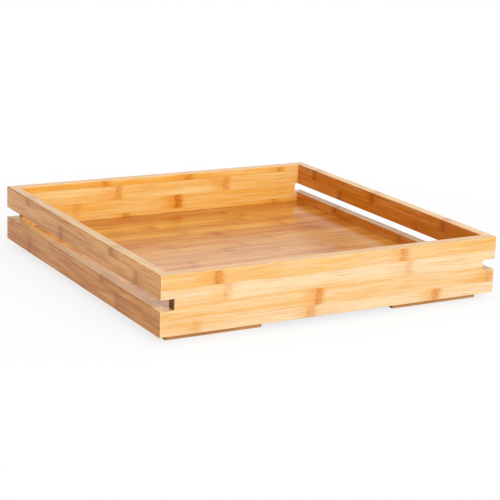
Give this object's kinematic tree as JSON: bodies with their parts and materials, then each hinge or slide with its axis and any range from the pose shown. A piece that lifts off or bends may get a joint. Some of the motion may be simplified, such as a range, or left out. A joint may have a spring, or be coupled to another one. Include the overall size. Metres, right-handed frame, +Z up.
{
  "type": "tray",
  "caption": "Square bamboo tray with mitred corners, a slot along each side and low feet, for holding and carrying things.",
  "frame": {"origin": "on the surface that the tray stands on, under the middle of its plan", "axes": "+X along the front wall towards the right side, +Y from the front wall to the back wall, +Z up"},
  "size_m": [0.4, 0.4, 0.07],
  "materials": {
    "wall_bamboo": "plain-pressed bamboo strips under clear satin lacquer",
    "rail_bamboo": "plain-pressed bamboo strips under clear satin lacquer",
    "panel_bamboo": "plain-pressed bamboo strips under clear semi-gloss lacquer",
    "foot_bamboo": "bamboo under clear satin lacquer",
    "dowel_wood": "bare wood"
  },
  "bodies": {
    "root": {"front_wall": "wall_bamboo", "back_wall": "wall_bamboo", "left_lower_rail": "rail_bamboo", "left_upper_rail": "rail_bamboo", "right_lower_rail": "rail_bamboo", "right_upper_rail": "rail_bamboo", "bottom_panel": "panel_bamboo", "front_left_foot": "foot_bamboo", "front_right_foot": "foot_bamboo", "back_left_foot": "foot_bamboo", "back_right_foot": "foot_bamboo", "front_left_lower_dowel": "dowel_wood", "front_left_upper_dowel": "dowel_wood", "front_right_lower_dowel": "dowel_wood", "front_right_upper_dowel": "dowel_wood", "back_left_lower_dowel": "dowel_wood", "back_left_upper_dowel": "dowel_wood", "back_right_lower_dowel": "dowel_wood", "back_right_upper_dowel": "dowel_wood"}
  },
  "joints": []
}
